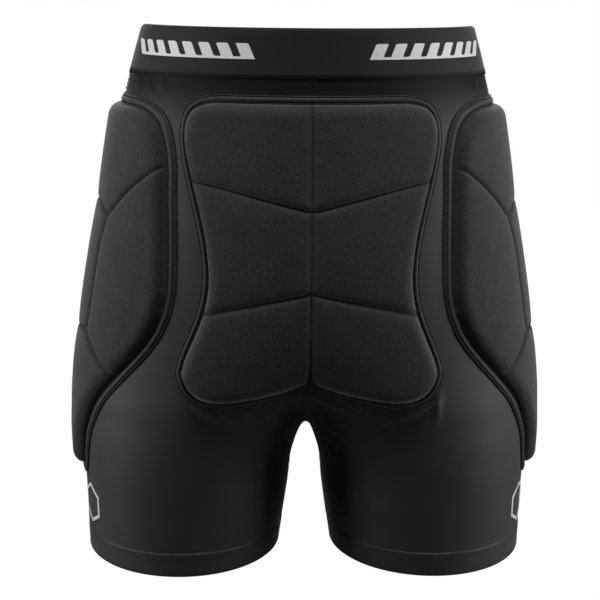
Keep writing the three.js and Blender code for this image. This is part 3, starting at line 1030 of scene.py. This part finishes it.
SEAT_REACH, HIP_REACH = 118 * MM, 98 * MM  # a little past the pad's edges, from its middle line
SEAT_TAPE = 6.2 * MM
HIP_TAPE = 7.5 * MM
# How high a pad stands, how deep its quilting dips, and how far its cover may swell.
SEAT_HEIGHTS = np.array([11.5, 4.4, 1.6]) * MM
HIP_HEIGHTS = np.array([10.0, 2.4, 0.7]) * MM


def hip_seams():
    """A six-sided cell, and a line from each of its four corners to the pad's edge."""
    curves = (
        bezier((36, 281), [(50, 300), (96, 356)]),
        bezier((36, 281), [(31, 264), (31, 245)], [(32, 215), (28, 188)]),
        bezier((28, 188), [(42, 170), (84, 139)]),
        bezier((0, 291), [(22, 291), (36, 281)]),
        bezier((0, 186), [(16, 186), (28, 188)]),
    )
    return [seam for curve in curves for seam in both_sides(curve, HIP_MIDDLE)]


def make_hip_pad(side, side_name):
    def surface(ahead_of_seam, height):
        return beside(side, FORM_Y + ahead_of_seam, height)

    foams = [f"{side_name}_hip_foam_{cell}" for cell in ("top", "rear", "centre", "front", "bottom")]
    name = f"{side_name}_hip_pad"
    make_pad(name, surface, HIP_REACH, hip_outline(), hip_seams(), HIP_TAPE, HIP_HEIGHTS, foams)


# ---- The waistband and the hems
BAND_OUTSIDE = 1.3 * MM
BAND_INSIDE = -2.3 * MM
FOLDED_FABRIC = 0.9 * MM


def around(z_of_y, angle, offset, centre_side):
    """Points round the torso, or round one leg, at an offset out of the form."""
    z = z_of_y(FORM_Y + 0.1 * np.sin(angle))
    for _ in range(3):
        centre, half, back, front = form_at(z)
        if not centre_side:
            half = centre + half
        depth = np.where(np.sin(angle) > 0, front, back)
        y = FORM_Y + depth * np.sin(angle)
        z = z_of_y(y)
    x = centre_side * centre + half * np.cos(angle)
    out = unit(np.column_stack([np.cos(angle) / half, np.sin(angle) / depth, np.zeros_like(angle)]))
    return np.column_stack([x, y, z]) + out * offset, out


def dropped(height):
    """A height that falls towards the front with the waistband, as a function of Y."""
    def z_of_y(y):
        ahead = y - FORM_Y - DROP_START
        softened = (ahead + np.sqrt(ahead ** 2 + (6 * MM) ** 2)) / 2
        return height - RIM_DROP * softened
    return z_of_y


def level(height):
    return lambda y: np.full_like(y, height)


def band_object(name, section, height_at, angle, centre_side, material):
    """A closed band round the body: section is a loop of (offset, height)."""
    loops = [around(height_at(height), angle, offset, centre_side)[0] for offset, height in section]
    verts = np.stack(loops, axis=1)
    obj = new_object(name, verts.reshape(-1, 3), strip_faces(len(angle), len(section)), material)
    fix_normals(obj)
    return obj


def folded_section(edge, fold, inside_offset, outside_offset, rows=12):
    """Folded fabric as (offset, height) points, round the outside and back inside."""
    rise = 1 if fold > edge else -1
    middle = (outside_offset + inside_offset) / 2
    widest = (outside_offset - inside_offset) / 2
    bend = fold - rise * widest
    heights = np.linspace(edge, bend, rows)[:-1]
    turn = np.linspace(0, math.pi, 7)

    def surface(radius):
        arc = [(middle + radius * math.cos(t), bend + rise * radius * math.sin(t)) for t in turn]
        return [(middle + radius, z) for z in heights] + arc + [(middle - radius, z) for z in heights[::-1]]

    return surface(widest) + surface(widest - FOLDED_FABRIC)[::-1]


def make_waistband():
    """A knitted casing, folded at the rim, over a strip of woven elastic."""
    angle = np.arange(600) / 600 * math.tau
    section = folded_section(BAND_BOTTOM, RIM, BAND_INSIDE, BAND_OUTSIDE)
    casing = band_object("waistband_knitted", section, dropped, angle, 0, BAND_KNIT)
    finish_piece(casing, "band_knit", "waistband_casing")
    gap = FOLDED_FABRIC + 0.3 * MM
    low, high = BAND_BOTTOM + 3 * MM, RIM - 3 * MM
    outside, inside_offset = BAND_OUTSIDE - gap, BAND_INSIDE + gap
    corners = [(outside, low), (outside, high), (inside_offset, high), (inside_offset, low)]
    strip = band_object("waistband_elastic_strip", corners, dropped, angle, 0, ELASTIC)
    finish_piece(strip, "elastic", "waistband_elastic")
    row = (*around(dropped(BAND_BOTTOM + 2.6 * MM), angle, BAND_OUTSIDE, 0), True)
    stitches("waistband_stitches", [row], 3.0 * MM, 2.1 * MM, 0.2 * MM, "band_knit")


def make_hem(side, side_name):
    """The leg's edge turned up inside, and held by two rows of stitches."""
    angle = np.arange(360) / 360 * math.tau
    section = folded_section(HEM_TOP, 0.0, -2.0 * MM, 0.15 * MM, rows=8)
    hem = band_object(f"{side_name}_hem_folded", section, level, angle, side, JERSEY)
    finish_piece(hem, "body_jersey", f"{side_name}_leg_hem")
    heights = (HEM_TOP - 2.2 * MM, HEM_TOP - 5.2 * MM)
    rows = [(*around(level(height), angle, 0.2 * MM, side), True) for height in heights]
    stitches(f"{side_name}_hem_stitches", rows, 3.3 * MM, 2.3 * MM, 0.2 * MM, "body_jersey")


def make_seam_stitches():
    """Rows of stitches on both sides of the seams that join the panels."""
    rows = []
    for _, side in SIDES:
        for shift in (-SEAM_STITCH_ASIDE, SEAM_STITCH_ASIDE):
            for low, high in ((HEM_TOP + 2 * MM, 64 * MM), (379 * MM, BAND_BOTTOM - 5 * MM)):
                z = np.arange(low, high, 2 * MM)
                rows.append(beside(side, np.full_like(z, FORM_Y + shift), z))
        for way, low, high in ((-1, 384 * MM, BAND_BOTTOM - 1 * MM), (1, 170 * MM, BAND_BOTTOM - 22 * MM)):
            z = np.arange(low, high, 2 * MM)
            rows.append(on_face(np.full_like(z, side * SEAM_STITCH_ASIDE), z, way))
    lifted = [(points + normals * SEAM_STITCH_LIFT, normals, False) for points, normals in rows]
    stitches("panel_seam_stitches", lifted, 2.8 * MM, 2.0 * MM, 0.2 * MM, "body_jersey")


SEAM_STITCH_ASIDE = 1.7 * MM
SEAM_STITCH_LIFT = 0.55 * MM


# ---- The prints and the label
FILM = 0.25 * MM


def film(node, outline, holes, place, lift):
    """A thin printed film that lies on the form, cut to an outline."""
    spacing = 2.0 * MM
    holes = [resample(hole, spacing) for hole in holes]
    flat, faces = triangulate(resample(outline, spacing), [], spacing, holes)
    for ring in holes:
        faces = faces[~inside(flat[faces].mean(axis=1), ring)]
    flat, faces = only_used(flat, faces)
    base, normal = place(flat)
    bottom = base + normal * lift
    obj = closed_cushion(f"{node}_film", base + normal * (lift + FILM), bottom, faces, normal, PRINT)
    shade(obj.data, False)
    finish_piece(obj, "white_print", node)


def make_waistband_print(side, side_name):
    """Slanted bars on a thin rail, evenly spaced round the body."""
    count, pitch, width, slant = 8, 6.9, 4.2, 2.2
    start, low, high, rail = 18, 407, 418.5, 1.8
    end = start + (count - 1) * pitch + width
    corners = [(start, low), (end, low)]
    for k in reversed(range(count)):
        turn = start + k * pitch
        foot = turn + slant * rail / (high - low)
        corners += [(foot + width, low + rail), (turn + slant + width, high), (turn + slant, high)]
        corners.append((foot, low + rail))
    outline = np.array(corners, float) * MM
    outline[:, 0] = side * WAIST_REACH * np.sin(np.radians(outline[:, 0] / MM))
    if side < 0:
        outline = outline[::-1]
    film(f"waistband_print_{side_name}", outline, [], lambda flat: behind(*flat.T), BAND_OUTSIDE + 0.1 * MM)


WAIST_REACH = 135.5 * MM  # the waistband's half-width at the height of its prints


def make_leg_print(side, side_name):
    """A six-sided ring low on the outside of the leg."""
    turn = np.arange(6) / 6 * math.tau + math.pi / 6
    ring = np.column_stack([np.cos(turn), np.sin(turn)])
    centre = np.array([-38, 44]) * MM
    outline, hole = (centre + ring * radius * MM for radius in (17, 14))

    def place(flat):
        return beside(side, flat[:, 0] + FORM_Y, flat[:, 1])

    film(f"leg_print_{side_name}", outline, [hole], place, 0.3 * MM)


def make_care_label():
    """A blank satin label sewn in under the waistband, curling at its foot."""
    outline = np.array([(-14, 356), (14, 356), (14, 391), (-14, 391)]) * MM
    spacing = 2.5 * MM
    flat, faces = triangulate(resample(outline, spacing), [], spacing)
    base, normal = behind(*flat.T)
    fall = (391 * MM - flat[:, 1]) / (35 * MM)
    depth = FABRIC + 0.7 * MM + 1.6 * MM * fall ** 2 + 0.3 * MM * np.sin(flat[:, 0] * 260) * fall
    top = base - normal * depth[:, None]
    obj = closed_cushion("care_label_satin", top, top - normal * 0.35 * MM, faces, normal, LABEL)
    finish_piece(obj, "label_satin", "care_label")


# ---- The setting
def make_stage():
    """A pale floor, which glows for the camera and throws little light up."""
    size = 40.0
    corners = [(-size, -size, 0), (size, -size, 0), (size, size, 0), (-size, size, 0)]
    floor = new_object("floor", corners, [(0, 1, 2, 3)], None)
    m = Nodes("pale floor", 0.03, 0.9, specular=0.0)
    m.shader.inputs["Emission Color"].default_value = (1, 1, 1, 1)
    glow = m.math("MAXIMUM", m.add("LightPath").outputs["Is Camera Ray"], 0.05)
    m.put(glow, m.shader.inputs["Emission Strength"])
    floor.data.materials.append(m.material)


# Each lamp's name, place, the point it faces, its size and its power.
LAMPS = [
    ("left box", (-1.25, -0.2, 0.3), (0, 0, 0.2), (0.5, 0.75), 8.4),
    ("right box", (1.25, -0.2, 0.3), (0, 0, 0.2), (0.5, 0.75), 9.3),
    ("top box", (0, -0.6, 1.75), (0, 0, 0.3), (1.0, 0.5), 18),
    ("front box", (0, 1.7, 0.8), (0, 0, 0.25), (2.2, 0.7), 16),
]
AMBIENT = 0.03


def make_light(name, place, target, size, power):
    data = bpy.data.lights.new(name, "AREA")
    data.shape = "RECTANGLE"
    data.size, data.size_y = size
    data.energy = power
    obj = add_object(name, data)
    obj.location = place
    obj.rotation_euler = (Vector(target) - Vector(place)).to_track_quat("-Z", "Y").to_euler()


def make_lights():
    """Soft boxes and a faint white room, which is seen as pure white."""
    world = bpy.data.worlds.new("studio")
    SCENE.world = world
    world.use_nodes = True
    nodes, links = world.node_tree.nodes, world.node_tree.links
    backdrop = nodes["Background"]
    backdrop.inputs["Color"].default_value = (1, 1, 1, 1)
    seen = nodes.new("ShaderNodeLightPath").outputs["Is Camera Ray"]
    strength = nodes.new("ShaderNodeMapRange")
    strength.inputs["To Min"].default_value = AMBIENT
    links.new(seen, strength.inputs["Value"])
    links.new(strength.outputs[0], backdrop.inputs["Strength"])
    for lamp in LAMPS:
        make_light(*lamp)


CAMERA_DISTANCE = 1.2
CAMERA_HEIGHT = 0.4695
CAMERA_PITCH = 0.2167
CAMERA_LENS = 89.25  # in millimetres, for a sensor 36 mm wide
CAMERA_TURN = math.radians(2.0)  # how far the camera stands to the left of straight behind
CAMERA_AIM = math.radians(-0.23)
CAMERA_ROLL = math.radians(-0.45)


def make_camera():
    data = bpy.data.cameras.new("camera")
    data.sensor_width = 36.0
    data.lens = CAMERA_LENS
    obj = add_object("camera", data)
    obj.location = (
        -CAMERA_DISTANCE * math.sin(CAMERA_TURN),
        FORM_Y - CAMERA_DISTANCE * math.cos(CAMERA_TURN),
        CAMERA_HEIGHT,
    )
    turn = Matrix.Rotation(-CAMERA_TURN - CAMERA_AIM, 3, "Z")
    tilt = Matrix.Rotation(math.pi / 2 - CAMERA_PITCH, 3, "X")
    roll = Matrix.Rotation(-CAMERA_ROLL, 3, "Z")
    obj.rotation_euler = (turn @ tilt @ roll).to_euler()
    SCENE.camera = obj


make_camera()
make_lights()
make_stage()
SCENE.view_settings.view_transform = "Standard"
make_panels()
make_seam_stitches()
make_waistband()
make_seat_pad()
for name, sign in SIDES:
    make_hip_pad(sign, name)
    make_hem(sign, name)
    make_waistband_print(sign, name)
    make_leg_print(sign, name)
make_care_label()
